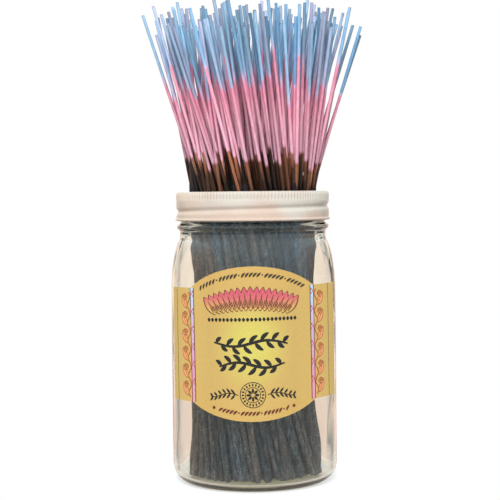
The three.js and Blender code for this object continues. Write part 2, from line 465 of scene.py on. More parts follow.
def makeJar():
    # the section turned about the axis: under the base, up the outside, over the rim, down the inside
    body, neck, finish, mouth = valuesOf(jar, "bodyRadius", "neckRadius", "finishRadius", "mouthRadius")
    heelRound, rimRound, corner, pole = valuesOf(jar, "heelRadius", "rimRound", "floorCorner", "poleRadius")
    start, end, neckTop, finishFrom = valuesOf(jar, "shoulderStart", "shoulderEnd", "neckTop", "finishFrom")
    mouthBottom, pushUp, floor = valuesOf(jar, "mouthBottom", "pushUp", "floorHeight")
    heel, inner, innerNeck = body - heelRound, body - jar["wall"], neck - jar["wall"]
    ring, rim = heel - jar["standRing"], jar["rimHeight"] - rimRound
    outside = joinedProfile(
        bezierPoints((pole, pushUp), (20, pushUp), (ring - 3, pushUp * 0.9), (ring, 0.05), 14),
        bezierPoints((ring, 0.05), (heel - 2, 0), (heel - 1, 0), (heel, 0), 4),
        arcPoints(heel, heelRound, heelRound, -90, 0, 18),
        straightPoints((body, heelRound), (body, start), 26),
        shoulderPoints(0, 24),
        straightPoints((neck, end), (neck, neckTop), 2),
        straightPoints((neck, neckTop), (finish, finishFrom), 18),
        straightPoints((finish, finishFrom), (finish, rim), 4),
        arcPoints(finish - rimRound, rim, rimRound, 0, 90, 5),
    )
    inside = joinedProfile(
        arcPoints(mouth + rimRound, rim, rimRound, 90, 180, 5),
        straightPoints((mouth, rim), (mouth, mouthBottom), 6),
        bezierPoints((mouth, mouthBottom), (mouth, mouthBottom - 2),
                     (innerNeck, mouthBottom - 3), (innerNeck, end), 5),
        shoulderPoints(jar["wall"], 24)[::-1],
        straightPoints((inner, start), (inner, floor + corner), 26),
        arcPoints(inner - corner, floor + corner, corner, 0, -90, 12),
        straightPoints((inner - corner, floor), (pole, floor), 12),
    )
    section = np.concatenate([outside, inside])
    rows, sides = len(section), jar["sides"]
    isInside = np.arange(rows)[:, None] >= len(outside)
    angle = (np.arange(sides) * fullTurn / sides)[None, :]
    radius, height = section[:, :1], section[:, 1:]
    # the bead under the band: a swell of the outer wall
    swell = np.exp(-(np.abs(height - jar["beadMiddle"]) / jar["beadHalf"]) ** jar["beadPower"])
    radius = radius + np.where(isInside, 0, (jar["beadRadius"] - finish) * swell)
    onWall, onShoulder = (riseAndFall(jar[part], height) for part in ("wallWaves", "shoulderWaves"))
    seam = sum(np.exp(-(((angle - place) / jar["seamWidth"]) ** 2))
               for place in (math.pi / 2, 3 * math.pi / 2))
    outerShift = jar["outerWave"] * wanderAt(angle, height, 11) * onWall
    onSeam = smoothStep(*jar["seamFrom"], height) * (height < jar["seamTop"])
    outerShift = outerShift + jar["seamHeight"] * seam * onSeam
    innerShift = -jar["innerWave"] * np.abs(wanderAt(angle, height, 23)) * onWall
    innerShift = innerShift - jar["shoulderWave"] * np.abs(wanderAt(2 * angle, 2.4 * height, 37)) * onShoulder
    grid = roundPoints(radius + np.where(isInside, innerShift, outerShift), height, angle).reshape(-1, 3)
    poles = [[0, 0, pushUp], [0, 0, floor]]
    firstRing = np.arange(sides)
    lastRing = firstRing + (rows - 1) * sides
    faces = [gridFaces(rows, sides, loopColumns=True),
             fanFaces(firstRing, rows * sides, reverse=True), fanFaces(lastRing, rows * sides + 1)]
    makePiece("glassJar", np.concatenate([grid, poles]), faces, makeGlassLook(),
              stands=("glass_jar",), sharpAngle=60)


# Screw band

band = {
    "radius": 45.4,
    "wall": 0.8,
    "bottom": 155.3,
    "top": 172.4,
    "opening": 39.4,
    "openingRound": 0.4,
    "shoulder": 2,
    "lipRadius": 46,
    "lipHeight": 1.5,
    "grooveDepth": 1.15,
    "grooveWidth": 1.35,
    "grooveHeight": 162.2,
    "threadPitch": 6.35,
    "fade": (165, 235),        # degrees round from the front where the groove fades out
    "teeth": 138,
    "toothDepth": 0.55,
    "toothPower": 1.6,                  # above 1 the grooves between the teeth are narrower
    "toothHeights": (167.1, 167.9, 171.3, 171.9),
    "columnsPerTooth": 6,
    "paint": (0.525, 0.472, 0.410),
    "greenPaint": (0.510, 0.484, 0.402),
    "pinkPaint": (0.505, 0.380, 0.305),
    "pinkHeights": (156, 168),          # the colour is darker and pinker towards the lower edge
    "paintedLeftLight": (0.620, 0.490, 0.385),
    "paintedLeftLightFrom": (-46, -24),             # and lighter and warmer at the left: painted warm light from that side
    "bareMetalAndShade": (0.05, 0.05, 0.048),   # the unpainted inside, near black: partly bare metal, partly painted shade
}


def grooveAt(angle, height):
    # one long turn that rises by the pitch for each full turn and fades out at both ends
    fadeStart, fadeEnd = (math.radians(edge) for edge in band["fade"])
    depth = 0
    for turn in (-1, 0, 1):
        along = (angle + math.pi) % fullTurn - math.pi + turn * fullTurn
        middle = band["grooveHeight"] + band["threadPitch"] * along / fullTurn
        fade = 1 - smoothStep(fadeStart, fadeEnd, np.abs(along))
        depth = depth + band["grooveDepth"] * fade * np.exp(-(((height - middle) / band["grooveWidth"]) ** 2))
    return depth


def makePaintLook():
    look, tree, shader = newLook("cream_paint", Metallic=0.0, Coat_Weight=0.25, Coat_Roughness=0.12)
    place = placeOn(tree)
    parts = partsOf(place)
    lowness = addSpan(parts["Z"], band["pinkHeights"], -0.22, 0.03)
    broad = addMath("ADD", addNoise(place, 34), lowness)
    colour = addRamp(broad, [(0.36, band["pinkPaint"]), (0.58, band["paint"]), (0.70, band["greenPaint"])])
    # a lighter, warmer colour towards the left end: painted warm light from the left
    colour = addMix(addSpan(parts["X"], band["paintedLeftLightFrom"], 1, 0), colour, band["paintedLeftLight"])
    colour = addTint(colour, addUneven(addNoise(place, 900, 2), 0.96, 1.03))
    # the inside of the ring is near black, partly bare metal and partly painted shade
    feed(shader, Base_Color=addMix(markOf(tree, "inside"), colour, band["bareMetalAndShade"]),
         Roughness=addUneven(addNoise(place, 120), 0.26, 0.42),
         Normal=addBump(addNoise(place, 650, 2), 0.12, 0.12))
    return look


def makeBand():
    # a pressed ring's closed section, with the thread groove and the knurled shoulder pushed into it
    radius, wall, top, bottom = valuesOf(band, "radius", "wall", "top", "bottom")
    inner = radius - wall
    skirtTop, skirtBottom = top - band["shoulder"], bottom + band["lipHeight"]
    lipRound, edgeRound = band["lipHeight"] / 2, band["openingRound"]
    edge = band["opening"] + edgeRound
    section = joinedProfile(
        arcPoints(band["lipRadius"] - lipRound, bottom + lipRound, lipRound, -90, 70, 7),
        straightPoints((radius, skirtBottom + 0.5), (radius, skirtTop), 20),
        arcPoints(radius - band["shoulder"], skirtTop, band["shoulder"], 0, 90, 8)[1:],
        straightPoints((radius - band["shoulder"], top), (edge, top), 4)[1:],
        arcPoints(edge, top - edgeRound, edgeRound, 90, 270, 6),
        straightPoints((edge, top - wall), (inner - 1, top - wall), 3)[1:],
        straightPoints((inner, skirtTop), (inner, skirtBottom), 12),
        straightPoints((inner, skirtBottom), (inner, bottom + 0.1), 1)[1:],
    )
    sides = band["teeth"] * band["columnsPerTooth"]
    angle = (np.arange(sides) * fullTurn / sides)[None, :]
    ringRadius, height = section[:, :1], section[:, 1:]
    onSkirt = (height >= skirtBottom) & (height <= skirtTop) & (np.abs(ringRadius - radius) < 1)
    onTeeth = riseAndFall(band["toothHeights"], height) * (ringRadius > inner + 0.2)
    dent = 0.5 - 0.5 * np.cos(band["teeth"] * angle)
    shift = np.where(onSkirt, grooveAt(angle, height), 0)
    shift = shift + band["toothDepth"] * onTeeth * dent ** band["toothPower"]
    grid = roundPoints(ringRadius - shift, height, angle).reshape(-1, 3)
    isInside = (ringRadius < inner + 0.1) & (height < top - 0.6 * wall)
    makePiece("screwBand", grid, [gridFaces(len(section), sides, loopRows=True, loopColumns=True)],
              makePaintLook(), stands=("screw_band",), sharpAngle=50,
              marks={"inside": np.repeat(isInside, sides, 1)})


# Incense sticks

sticks = {
    "count": 225,
    "length": 271,
    "lengthSpread": 8,
    "leaningExtra": 160,      # times 1 minus the cosine of the lean
    "lift": 2.5,
    "coated": 174,
    "coatedSpread": 4,
    "coatDrop": 11,           # mm at most by which a coating stops short of that length
    "coatRadius": 1.7,
    "coatThickness": (0.93, 1.03),                   # shares of that radius
    "coatLumps": ((0.030, 4.1, 81), (0.025, 9.7, 82)),   # share of it, mm for each radian, draw
    "caneRadius": 0.99,
    "caneThickness": (0.87, 1.0),
    "floor": 4.4,
    "footRadius": 37.9,
    "footShift": (0.3, 0.5),
    "throatRadius": 36.4,
    "throatShift": (0.2, 0),
    "throatHeight": 172.4,
    "uprightShare": 0.33,
    "uprightTurn": (40, 70),
    "leaningTurn": (92, 138),
    "footPull": (0.9, 1.1),
    "settleRounds": 150,
    "settleStep": 0.45,
    "settleRoom": 0.96,
    "coatSides": 12,
    "caneSides": 8,
    "squareness": 3.4,        # power of the cane's rounded-square section
    "bow": 0.5,               # mm, how far a stick bends between its ends
    "stain": 18,              # mm of oil-browned cane above the coating
    "stainSpread": 3.5,
    "soot": 18,               # mm at most of blackened cane just above the coating
    "blue": 37,               # mm of blue at the tip
    "blueSpread": 10,
    "blueBlend": (1.5, 6.5),
}


def clashBetween(offset, change, low, high, room):
    # the overlap of two lines between two shares of the way up, and the share where it is greatest
    steepness = np.maximum((change ** 2).sum(-1), 1e-9)
    at = np.clip(-(offset * change).sum(-1) / steepness, low, high)
    gap = offset + change * at[..., None]
    return at, gap, room - np.linalg.norm(gap, axis=-1)


def keepInside(points, radius):
    reach = np.linalg.norm(points, axis=-1, keepdims=True)
    return points * np.minimum(1, radius / np.maximum(reach, 1e-9))


def settledLines():
    # a sunflower spread in the throat, feet turned about the axis against it, then overlaps pushed apart
    count = sticks["count"]
    item = np.arange(count)
    share = np.sqrt((item + 0.5) / count)
    angle = item * math.pi * (3 - math.sqrt(5))
    upright = draw(item, 71) < sticks["uprightShare"]
    turnShare = draw(item, 72)
    turn = np.where(upright, blendBetween(*sticks["uprightTurn"], turnShare),
                    blendBetween(*sticks["leaningTurn"], turnShare))
    pull = np.where(upright, 1, blendBetween(*sticks["footPull"], draw(item, 73)))
    throat = sticks["throatRadius"] * share[:, None] * unitAt(angle)
    foot = sticks["footRadius"] * (share * pull)[:, None] * unitAt(angle + np.radians(turn))
    span = sticks["throatHeight"] - sticks["floor"]
    coatEnd, tip = sticks["coated"] / span, sticks["length"] / span
    coatRoom, caneRoom = (2 * sticks[part] * sticks["settleRoom"] for part in ("coatRadius", "caneRadius"))
    itself = np.eye(count, dtype=bool)
    for _ in range(sticks["settleRounds"]):
        offset = foot[:, None] - foot[None]
        change = throat[:, None] - throat[None] - offset
        coatAt, coatGap, coatNeed = clashBetween(offset, change, 0, coatEnd, coatRoom)
        caneAt, caneGap, caneNeed = clashBetween(offset, change, coatEnd, tip, caneRoom)
        useCane = caneNeed > coatNeed
        at = np.where(useCane, caneAt, coatAt)
        gap = np.where(useCane[..., None], caneGap, coatGap)
        need = np.where(useCane, caneNeed, coatNeed)
        weight = sticks["settleStep"] * 0.5 * need / ((1 - at) ** 2 + at ** 2)
        weight = weight / np.maximum(np.linalg.norm(gap, axis=-1), 1e-6)
        weight = np.where((need > 0) & ~itself, weight, 0)
        foot = keepInside(foot + ((weight * (1 - at))[..., None] * gap).sum(1), sticks["footRadius"])
        throat = keepInside(throat + ((weight * at)[..., None] * gap).sum(1), sticks["throatRadius"])
    return foot + sticks["footShift"], throat + sticks["throatShift"]


def standSticks():
    # where each stick starts and heads, with two directions across it, and how far its parts reach along it
    foot, throat = settledLines()
    item = np.arange(sticks["count"])
    rise = np.full((len(item), 1), sticks["throatHeight"] - sticks["floor"])
    along = np.concatenate([throat - foot, rise], -1)
    along = along / np.linalg.norm(along, axis=-1, keepdims=True)
    lowest = sticks["floor"] + sticks["coatRadius"] * np.hypot(along[:, 0], along[:, 1])
    lift = sticks["lift"] * draw(item, 74) ** 2
    start = np.concatenate([foot, lowest[:, None]], -1) + along * lift[:, None]
    sideA = np.array([1.0, 0, 0]) - along * along[:, :1]
    sideA = sideA / np.linalg.norm(sideA, axis=-1, keepdims=True)
    sideB = np.cross(along, sideA)
    length = sticks["length"] + sticks["lengthSpread"] * swing(item, 75)
    length = length + sticks["leaningExtra"] * (1 - along[:, 2])
    coated = sticks["coated"] + sticks["coatedSpread"] * swing(item, 76)
    coatEnd = coated - sticks["coatDrop"] * draw(item, 87)
    return {"item": item, "start": start, "along": along, "sideA": sideA, "sideB": sideB,
            "length": length, "coated": coated, "coatEnd": coatEnd}


def perPoint(values, rows, sides):
    # one value for each stick and row, or for each stick, spread over its rings and its two end points
    values = np.broadcast_to(values, (sticks["count"], rows))
    return np.concatenate([np.repeat(values, sides, 1), values[:, [0, -1]]], 1).ravel()


def makeSticks(name, stand, reach, radius, ringAngle, ringScale, marks, look, sharpAngle):
    # rings of points along every stick: reach and radius are sticks x rows, ringScale sticks x rows x sides
    item, start, along, sideA, sideB, length = valuesOf(stand, "item", "start", "along", "sideA", "sideB",
                                                        "length")
    arch = np.sin(math.pi * reach / length[:, None])
    bendA, bendB = (sticks["bow"] * swing(item, purpose)[:, None] * arch for purpose in (51, 52))
    outA = bendA[..., None] + radius[..., None] * ringScale * np.cos(ringAngle)
    outB = bendB[..., None] + radius[..., None] * ringScale * np.sin(ringAngle)
    points = start[:, None, None] + along[:, None, None] * reach[..., None, None]
    points = points + sideA[:, None, None] * outA[..., None] + sideB[:, None, None] * outB[..., None]
    count, rows, sides = outA.shape
    ends = np.stack([points[:, 0].mean(1), points[:, -1].mean(1)], 1)
    block = rows * sides + 2
    everyPoint = np.concatenate([points.reshape(count, -1, 3), ends], 1).reshape(-1, 3)
    ring = np.arange(sides)
    fans = np.concatenate([fanFaces(ring, block - 2, reverse=True),
                           fanFaces(ring + (rows - 1) * sides, block - 1)])
    shift = (np.arange(count) * block)[:, None, None]
    faces = [(part[None] + shift).reshape(-1, part.shape[1])
             for part in (gridFaces(rows, sides, loopColumns=True), fans)]
    marks = {title: perPoint(values, rows, sides) for title, values in marks.items()}
    makePiece(name, everyPoint, faces, look, stands=("incense_bundle",),
              sharpAngle=sharpAngle, marks=marks)


def makeCoatLook():
    look, tree, shader = newLook("charcoal_coat", Specular_IOR_Level=0.3)
    place = placeOn(tree)
    parts = partsOf(place)
    grain = addNoise(place, 1100, 4, 0.65)
    streak = addNoise(placeOn(tree, (1, 1, 0.12)), 780, 3, 0.6)
    mixed = addMath("MULTIPLY_ADD", markOf(tree, "tone"), 0.68, addUneven(streak, -0.10, 0.45))
    colour = addRamp(mixed, [(0.05, (0.014, 0.018, 0.023)), (0.33, (0.046, 0.055, 0.063)),
                             (0.60, (0.094, 0.107, 0.120)), (0.74, (0.160, 0.130, 0.122)),
                             (0.82, (0.110, 0.128, 0.145)), (1.00, (0.170, 0.188, 0.205))])
    colour = addTint(colour, addUneven(addNoise(placeOn(tree, (1, 1, 0.4)), 420), 0.55, 1.50))
    speck = addRamp(grain, [(0.32, (0.35, 0.36, 0.38)), (0.50, (0.95, 0.95, 0.95)), (0.70, (2.3, 2.2, 2.1))])
    colour = addTint(colour, speck)
    # browner sticks and patches among bluer ones; browner towards the left as painted warm light from that
    # side, and bluer towards the top as a painted reflection of the cool light from above
    patch = addRange(addNoise(placeOn(tree, (1, 1, 0.5)), 60, 2), 0.36, 0.64, 0, 0.55)
    warmthAndPaintedLight = addMath("MULTIPLY_ADD", markOf(tree, "hue"), 0.45, patch)
    # browner towards the left: painted warm light from that side
    warmthAndPaintedLight = addMath("ADD", warmthAndPaintedLight, addSpan(parts["X"], (-36, 36), 0.26, -0.26))
    # bluer towards the top: painted reflection of the cool light from above
    warmthAndPaintedLight = addMath("ADD", warmthAndPaintedLight, addSpan(parts["Z"], (125, 150), 0, -0.25))
    hue = addRamp(warmthAndPaintedLight, [(0.1, (0.64, 1.0, 1.40)), (0.5, (1.0, 1.0, 1.0)), (0.9, (1.75, 0.97, 0.56))])
    hueShare = addSpan(parts["Z"], (50, 120), 0.40, 1.0)
    colour = addMix(hueShare, colour, addTint(colour, hue))
    # black near the top: oil, and lower down, where the band overhangs, a painted shadow of the band over the
    # sticks
    toTop = addMath("ADD", markOf(tree, "toTop"), addUneven(streak, -3, 3))
    # the upper part of this zone is oil, and the lower part is painted shadow of the band
    oilAndBandShadow = addRange(toTop, 20, 28, 1, 0)
    feed(shader, Base_Color=addMix(oilAndBandShadow, colour, (0.012, 0.010, 0.010)),
         Roughness=addUneven(grain, 0.72, 0.95), Normal=addBump(grain, 0.7, 0.25))
    return look


def makeCoats(stand):
    # a lumpy paste coat, rounded at the foot and thinned at the top
    item, coatEnd = stand["item"], stand["coatEnd"][:, None]
    footReach, footScale = np.array([0, 0.25, 0.8, 1.8]), (0.55, 0.80, 0.96, 1.0)
    topReach, topScale = np.array([5.0, 2.2, 0.7, 0.0]), (1.0, 0.95, 0.86, 0.64)
    bodyRows, sides = 11, sticks["coatSides"]
    body = blendBetween(9.0, coatEnd - 12, np.linspace(0, 1, bodyRows))
    reach = np.concatenate([footReach + 0 * coatEnd, body, coatEnd - topReach], 1)
    scale = np.concatenate([footScale, np.ones(bodyRows), topScale])
    lumps = 1
    for size, spacing, purpose in sticks["coatLumps"]:
        lumps = lumps + size * np.sin(reach / spacing + fullTurn * draw(item, purpose)[:, None])
    thickness = sticks["coatRadius"] * blendBetween(*sticks["coatThickness"], draw(item, 83))[:, None]
    angle = np.arange(sides) * fullTurn / sides
    lobes = 1 + 0.03 * np.cos(2 * angle + fullTurn * draw(item, 84)[:, None, None] + reach[..., None] / 30)
    marks = {"tone": draw(item, 85)[:, None], "hue": draw(item, 86)[:, None],
             "toTop": stand["coated"][:, None] - reach}
    radius = thickness * lumps * scale
    makeSticks("incenseCoats", stand, reach, radius, angle, lobes, marks, makeCoatLook(), sharpAngle=70)


def makeCaneLook():
    look, tree, shader = newLook("dyed_cane", Specular_IOR_Level=0.35, Roughness=0.6)
    lengthwise = placeOn(tree, (1, 1, 0.05))
    fibre = addNoise(lengthwise, 900, 3, 0.6)
    broad = addNoise(lengthwise, 120, 2)
    tone, shade = markOf(tree, "tone"), markOf(tree, "shade")
    dye = addMath("ADD", markOf(tree, "dye"), addUneven(broad, -0.02, 0.02))
    colour = addRamp(dye, [
        (0.04, (0.028, 0.013, 0.009)),
        (0.08, (0.105, 0.038, 0.020)),
        (0.12, (0.185, 0.068, 0.032)),
        (0.14, (0.200, 0.055, 0.040)),
        (0.17, (0.600, 0.270, 0.330)),
        (0.19, (0.700, 0.360, 0.455)),
        (0.36, (0.740, 0.350, 0.440)),
        (0.50, (0.740, 0.250, 0.360)),
        (0.60, (0.520, 0.400, 0.560)),
        (0.70, (0.300, 0.420, 0.590)),
        (0.85, (0.235, 0.395, 0.550)),
        (0.97, (0.260, 0.400, 0.535)),
        (1.00, (0.120, 0.170, 0.240)),
    ])

    def addWhere(colour, dyeRange, shadeRange, other):
        # another colour where both the dye and the stick's own shade lie in their ranges
        share = addMath("MULTIPLY", addRange(dye, *dyeRange), addRange(shade, *shadeRange))
        return addMix(share, colour, other)

    colour = addWhere(colour, (0.55, 0.66, 0, 1), (0.5, 1, 0, 0.75), (0.44, 0.40, 0.56))
    colour = addWhere(colour, (0.60, 0.72, 0, 1), (0.3, 0.0, 0, 0.8), (0.11, 0.27, 0.46))
    stained = addRange(dye, 0.12, 0.19, 1, 0)
    tan = addMath("MULTIPLY", addRange(shade, 0.55, 1, 0, 0.75), addRange(dye, 0.06, 0.12))
    colour = addMix(addMath("MULTIPLY", tan, stained), colour, (0.37, 0.19, 0.105))
    pinkTone, blueTone = addRange(tone, 0, 1, 0.66, 1.16), addRange(tone, 0, 1, 0.52, 1.30)
    dyedTone = addMix(addRange(dye, 0.55, 0.68), pinkTone, blueTone)
    stainTone = addMath("MULTIPLY_ADD", addMath("POWER", tone, 1.8), 2.2, 0.08)
    bright = addMix(stained, dyedTone, stainTone)
    bright = addMath("MULTIPLY", bright, addUneven(fibre, 0.80, 1.12))
    feed(shader, Base_Color=addTint(colour, bright), Normal=addBump(fibre, 0.35, 0.12))
    return look


def makeCanes(stand):
    # split cane with a rounded-square section from just inside the coat to a square-cut tip;
    # rows stand where the dye changes, so that each colour starts and ends at its own place
    item, length, coated, coatEnd = valuesOf(stand, "item", "length", "coated", "coatEnd")
    stainEnd = coated + sticks["stain"] + sticks["stainSpread"] * swing(item, 91)
    blueStart = length - sticks["blue"] + sticks["blueSpread"] * swing(item, 92)
    blend = blendBetween(*sticks["blueBlend"], draw(item, 93) ** 2)
    sootEnd = np.minimum(coatEnd + sticks["soot"] * draw(item, 99) ** 1.5, stainEnd - 6)
    reach = np.stack([coatEnd - 4, sootEnd, sootEnd + 3, stainEnd - 2, stainEnd + 1.5,
                      (stainEnd + blueStart) / 2, blueStart - blend, blueStart, blueStart + blend,
                      (blueStart + length) / 2 + 3, length - 0.5, length], -1)
    dye = (0.0, 0.04, 0.08, 0.12, 0.19, 0.36, 0.50, 0.60, 0.70, 0.85, 0.97, 1.0)
    sides, power = sticks["caneSides"], sticks["squareness"]
    thickness = sticks["caneRadius"] * blendBetween(*sticks["caneThickness"], draw(item, 94))[:, None]
    thickness = thickness * (1 + 0.03 * np.sin(reach / 14 + fullTurn * draw(item, 95)[:, None]))
    thickness[:, -1] *= 0.9
    angle = (np.arange(sides) + 0.5) * fullTurn / sides
    square = (np.abs(np.cos(angle)) ** power + np.abs(np.sin(angle)) ** power) ** (-1 / power)
    turned = angle + fullTurn * draw(item, 96)[:, None, None]
    marks = {"tone": draw(item, 97)[:, None], "shade": draw(item, 98)[:, None], "dye": dye}
    square = square / square.mean()
    makeSticks("dyedCanes", stand, reach, thickness, turned, square, marks, makeCaneLook(), sharpAngle=50)


# Paper label

label = {
    "radius": 49.7,            # of the outer face
    "paper": 0.3,              # thickness
    "turn": -1.2,              # degrees round the jar
    "tilt": 0.9,               # degrees in its own plane
    "tiltCentre": 86,          # height
    "leftAngle": 68.5,         # degrees from its middle to its ends
    "rightAngle": 71.5,
    "panelHalfAngle": 45,
    "bottom": 52.5,
    "top": 118,
    "archRise": 12,
    "archDrop": 10.5,
    "bowWidth": 38.5,
    "columns": 120,
    "rows": 24,
    "gold": (0.49, 0.322, 0.096),
    "deepGold": (0.50, 0.31, 0.090),
    "yellow": (0.525, 0.45, 0.098),
    "paintedSideLightGold": (0.635, 0.430, 0.130),
    "yellowSides": (-24, 22),  # the edges of the yellow middle, across and up
    "yellowHeights": (58, 112),
    "panelMiddle": -1,
    "paintedSideLightFrom": (24, 46),     # mm from there where the lighter gold of the side panels, painted light, sets in and is full
}


def onLabel(across, height, lift):
    # a point of the flat label, bent round the jar: across is the arc length from its middle
    tilt = math.radians(label["tilt"])
    above = height - label["tiltCentre"]
    turnedAcross = across * math.cos(tilt) - above * math.sin(tilt)
    turnedHeight = label["tiltCentre"] + across * math.sin(tilt) + above * math.cos(tilt)
    angle = turnedAcross / label["radius"] + math.radians(label["turn"])
    return roundPoints(label["radius"] + lift, turnedHeight, angle)


def acrossAt(degrees):
    return math.radians(degrees) * label["radius"]


def bowAt(across, rise):
    # height that a circular bow adds over the front panel: the circle's own height less that at its ends
    share = np.minimum(np.abs(across) / acrossAt(label["panelHalfAngle"]), 1)
    ratio = rise / label["bowWidth"]
    bowRadius = (1 + ratio ** 2) / (2 * ratio)
    return label["bowWidth"] * (np.sqrt(bowRadius ** 2 - share ** 2) - (bowRadius - ratio))


def upperEdge(across):
    return label["top"] + bowAt(across, label["archRise"])


def lowerEdge(across):
    return label["bottom"] - bowAt(across, label["archDrop"])


def makePaperLook():
    look, tree, shader = newLook("gold_paper", Specular_IOR_Level=0.45)
    place = placeOn(tree)
    parts = partsOf(place)
    # yellow in the middle and gold round it, by the distance from the middle of the panel
    ways = [addSpan(parts["X"], label["yellowSides"], -1, 1, clamp=False),
            addSpan(parts["Z"], label["yellowHeights"], -1, 1, clamp=False)]
    squares = [addMath("POWER", addMath("ABSOLUTE", way), 2.0) for way in ways]
    reach = addMath("MULTIPLY", addMath("SQRT", addMath("ADD", *squares)), 0.5)
    glow = addRamp(reach, [(0.10, label["yellow"]), (0.55, label["gold"]), (1.0, label["deepGold"])],
                   smooth=True)
    # lighter gold towards the side panels: painted light, as though the sides were lit as brightly as the
    # front
    aside = addMath("ABSOLUTE", addMath("ADD", parts["X"], -label["panelMiddle"] * mm))
    glow = addMix(addSpan(aside, label["paintedSideLightFrom"]), glow, label["paintedSideLightGold"])
    fibre = addUneven(addNoise(place, 700, 4, 0.65), 0.955, 1.035)
    feed(shader, Base_Color=addTint(glow, fibre),
         Roughness=addUneven(addNoise(place, 90), 0.40, 0.55),
         Normal=addBump(addNoise(place, 800), 0.12, 0.05))
    return look


def makeLabelPaper():
    # a sheet between its lower and upper edge curves, bent round the glass
    left, right = -acrossAt(label["leftAngle"]), acrossAt(label["rightAngle"])
    across = np.linspace(left, right, label["columns"] + 1)[None]
    share = np.linspace(0, 1, label["rows"] + 1)[:, None]
    height = blendBetween(lowerEdge(across), upperEdge(across), share)
    outer, inner = (onLabel(across + 0 * share, height, lift) for lift in (0, -label["paper"]))
    rows, columns = height.shape
    row = np.arange(rows - 1)[:, None]
    mirror = 2 * rows - 1 - row
    leftSide = np.concatenate([row, row + 1, mirror - 1, mirror], 1) * columns
    rightSide = leftSide[:, ::-1] + columns - 1
    makePiece("labelPaper", np.concatenate([outer, inner[::-1]]).reshape(-1, 3),
              [gridFaces(2 * rows, columns, loopRows=True), leftSide, rightSide], makePaperLook(),
              stands=("paper_label",))


# Label print, as thin raised ink

printed = {
    "barAngle": 43.7,
    "barWidth": 2.7,
    "barLine": 0.5,
    "borderAngle": 61.6,
    "borderLine": 0.4,
    "vineGap": 3.1,              # mm from a bar's middle to the stem beside it
    "vineWave": 1.2,
    "vineRepeats": 6,
    "vineLine": 0.75,
    "leafLength": 9.2,
    "leafWidth": 4.4,
    "leafLean": 0.75,            # radians up from level
    "tendrilRadius": 2.3,
    "tendrilOut": 3.6,
    "berryRadius": 0.85,
    "crestMiddle": (-0.4, 103.2),
    "crestPetals": 17,
    "crestHalf": 20.64,
    "crestRise": 2.2,
    "crestLean": 0.66,           # radians that the outermost petals lean
    "petalLength": 12.9,
    "petalWidth": 4.4,
    "ruleHeight": 100.0,
    "ruleHalf": 25.5,
    "ruleSize": 2.7,
    "twigs": ((-1.0, 86.5, 21.5), (-0.5, 74.2, 19.0)),   # middle across, height, half length
    "twigSwing": 1.6,            # mm that a twig bends up and down
    "twigLeaves": 13,
    "twigLeafSize": (6.9, 2.4),
    "medallion": (-0.4, 57.2),
    "medallionRadius": 7.2,
    "sprayLength": 16.5,
}

# each ink's colours, by share of the way up the label
inks = {
    "bar_ink": [(0.12, (0.72, 0.29, 0.36)), (0.40, (0.66, 0.29, 0.42)), (0.66, (0.56, 0.42, 0.66)),
                (0.85, (0.42, 0.60, 0.80))],
    "vine_ink": [(0.0, (0.40, 0.115, 0.045)), (1.0, (0.40, 0.12, 0.04))],
    "leaf_ink": [(0.0, (0.80, 0.34, 0.16)), (1.0, (0.80, 0.36, 0.13))],
    "berry_ink": [(0.0, (0.42, 0.13, 0.11)), (1.0, (0.42, 0.14, 0.14))],
    "crest_ink": [(0.10, (0.60, 0.46, 0.11)), (0.36, (0.58, 0.29, 0.10)), (0.64, (0.53, 0.12, 0.12)),
                  (1.0, (0.48, 0.065, 0.12))],
    "crest_line_ink": [(0.0, (0.10, 0.035, 0.02)), (1.0, (0.12, 0.03, 0.02))],
    "black_ink": [(0.0, (0.012, 0.010, 0.008)), (1.0, (0.012, 0.010, 0.008))],
    "brown_ink": [(0.0, (0.12, 0.022, 0.010)), (0.6, (0.05, 0.025, 0.014)), (1.0, (0.04, 0.025, 0.014))],
}


def inkStrips(centre, halfWidth, lift, thickness=0.05, acrossPoints=3):
    # closed flat strips: centre is strips x steps x 2 (across, height), halfWidth is strips x steps
    step = np.gradient(centre, axis=1)
    step = step / np.maximum(np.linalg.norm(step, axis=-1, keepdims=True), 1e-9)
    normal = pairs(-step[..., 1], step[..., 0])
    side = np.linspace(1, -1, acrossPoints)[None, None, :, None]
    flat = centre[:, :, None] + normal[:, :, None] * np.maximum(halfWidth, 0.02)[:, :, None, None] * side
    lift = np.reshape(lift, (-1, 1, 1))
    upper = onLabel(flat[..., 0], flat[..., 1], lift + thickness)
    lower = onLabel(flat[..., 0], flat[..., 1], lift - 0.03)
    points = np.concatenate([upper, lower[:, :, ::-1]], 2)
    count, steps, wide = points.shape[:3]
    left = np.arange(acrossPoints - 1)
    cap = np.stack([wide - 1 - left, wide - 2 - left, left + 1, left], -1)
    one = np.concatenate([gridFaces(steps, wide, loopColumns=True), cap, cap[:, ::-1] + (steps - 1) * wide])
    faces = (one[None] + (np.arange(count) * steps * wide)[:, None, None]).reshape(-1, 4)
    return points.reshape(-1, 3), faces


def makeInkLook(name, heights=(40, 130)):
    # ink whose colour changes with height on the label, a little uneven like a print
    look, tree, shader = newLook(name, Specular_IOR_Level=0.4, Roughness=0.45)
    place = placeOn(tree)
    share = addSpan(partsOf(place)["Z"], heights)
    uneven = addUneven(addNoise(place, 900), 0.88, 1.10)
    feed(shader, Base_Color=addTint(addRamp(share, inks[name]), uneven))
    return look


def makeInk(name, strips, look):
    # several groups of strips as one piece of one ink
    firsts = np.cumsum([0] + [len(points) for points, _ in strips[:-1]])
    points = np.concatenate([points for points, _ in strips])
    faces = np.concatenate([faces + first for (_, faces), first in zip(strips, firsts)])
    makePiece(name, points, [faces], look, sharpAngle=30)


def lineStrip(path, width, lift, steps=48):
    # one strip of even width along a path of (across, height) points spaced evenly by length
    path = np.asarray(path, float)
    run = np.concatenate([[0], np.cumsum(np.linalg.norm(np.diff(path, axis=0), axis=1))])
    place = np.linspace(0, run[-1], steps)
    centre = pairs(np.interp(place, run, path[:, 0]), np.interp(place, run, path[:, 1]))[None]
    return inkStrips(centre, np.full(centre.shape[:2], width / 2), lift)


